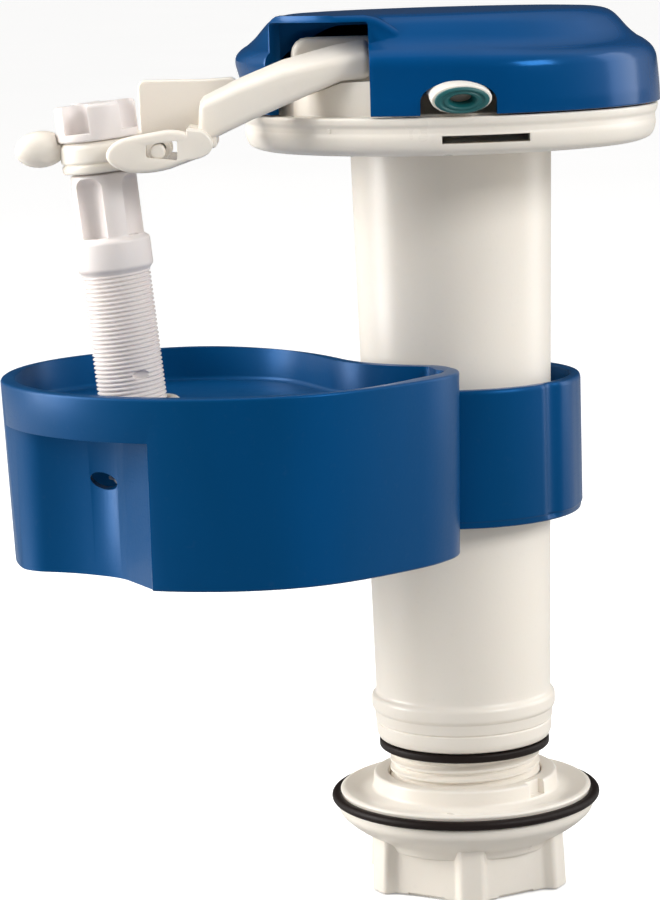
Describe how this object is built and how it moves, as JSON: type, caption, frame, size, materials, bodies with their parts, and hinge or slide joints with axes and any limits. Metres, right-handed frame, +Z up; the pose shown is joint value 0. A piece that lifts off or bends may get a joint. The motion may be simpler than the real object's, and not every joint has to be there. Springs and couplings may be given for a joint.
{
  "type": "toilet fill valve",
  "caption": "Toilet tank fill valve: riser tube with threaded shank and nut, round head with blue cap, lever, adjuster rod and cup float.",
  "frame": {"origin": "on the riser tube's axis, at the tank floor under the shank seal", "axes": "+Z up along the riser tube; the lever and float lie towards -X and the refill port faces -Y"},
  "size_m": [0.1265, 0.1019, 0.1714],
  "materials": {
    "ivory_plastic": "semi-gloss moulded ivory plastic, slightly translucent",
    "white_plastic": "satin white nylon with a faint pink cast",
    "blue_gloss": "glossy blue moulded plastic",
    "blue_satin": "satin blue moulded plastic",
    "teal_rubber": "soft teal rubber",
    "black_rubber": "black rubber",
    "grey_plastic": "grey moulded plastic",
    "pin_steel": "stainless steel pin"
  },
  "bodies": {
    "valve_body": {"riser_tube": "ivory_plastic", "shank_seal": "black_rubber", "supply_pipe": "grey_plastic", "seat_ring": "grey_plastic", "flow_restrictor": "teal_rubber", "inlet_strainer": "grey_plastic", "head_base": "ivory_plastic", "head_seal": "black_rubber", "valve_plate": "grey_plastic", "refill_port": "ivory_plastic", "refill_seal": "teal_rubber", "lever_pin": "pin_steel"},
    "cap": {"cap": "blue_gloss"},
    "lever": {"float_lever": "ivory_plastic", "pilot_seal": "black_rubber"},
    "collar": {"rod_collar": "ivory_plastic", "collar_pin": "pin_steel"},
    "rod": {"adjuster_rod": "white_plastic"},
    "float": {"float_cup": "blue_satin", "guide_sleeve": "blue_satin", "rod_nut": "ivory_plastic"},
    "diaphragm": {"diaphragm": "black_rubber", "diaphragm_guide": "white_plastic"},
    "nut_ring": {"nut_o_ring": "black_rubber"},
    "nut": {"flange_nut": "ivory_plastic"}
  },
  "joints": [
    {"name": "cap_lift", "type": "slide", "parent": "valve_body", "child": "cap", "axis": [0, 0, 1], "range_m": [0, 0.03]},
    {"name": "float_rise", "type": "slide", "parent": "valve_body", "child": "collar", "axis": [0, 0, 1], "range_m": [0, 0.008]},
    {"name": "lever_swing", "type": "hinge", "parent": "valve_body", "child": "lever", "pos_m": [-0.012, -0.0264, 0.1346], "axis": [0, 1, 0], "range_deg": [0, 10.9]},
    {"name": "rod_turn", "type": "hinge", "parent": "collar", "child": "rod", "pos_m": [-0.0657, -0.026, 0.1215], "axis": [-0.0906, 0, 0.9959], "range_deg": [-3605, 3605]},
    {"name": "float_adjust", "type": "slide", "parent": "collar", "child": "float", "axis": [-0.0906, 0, 0.9959], "range_m": [-0.008, 0.008]},
    {"name": "diaphragm_lift", "type": "slide", "parent": "valve_body", "child": "diaphragm", "axis": [0, 0, 1], "range_m": [0, 0.001]},
    {"name": "nut_travel", "type": "slide", "parent": "valve_body", "child": "nut_ring", "axis": [0, 0, 1], "range_m": [-0.0036, 0.0036]},
    {"name": "nut_turn", "type": "hinge", "parent": "nut_ring", "child": "nut", "pos_m": [0, 0, -0.015], "axis": [0, 0, 1], "range_deg": [-720, 720]}
  ],
  "couplings": [
    {"joint": "lever_swing", "follows": "float_rise", "rad_per_m": 23},
    {"joint": "rod_turn", "follows": "float_adjust", "rad_per_m": -7854},
    {"joint": "nut_turn", "follows": "nut_travel", "rad_per_m": 3471.4}
  ]
}
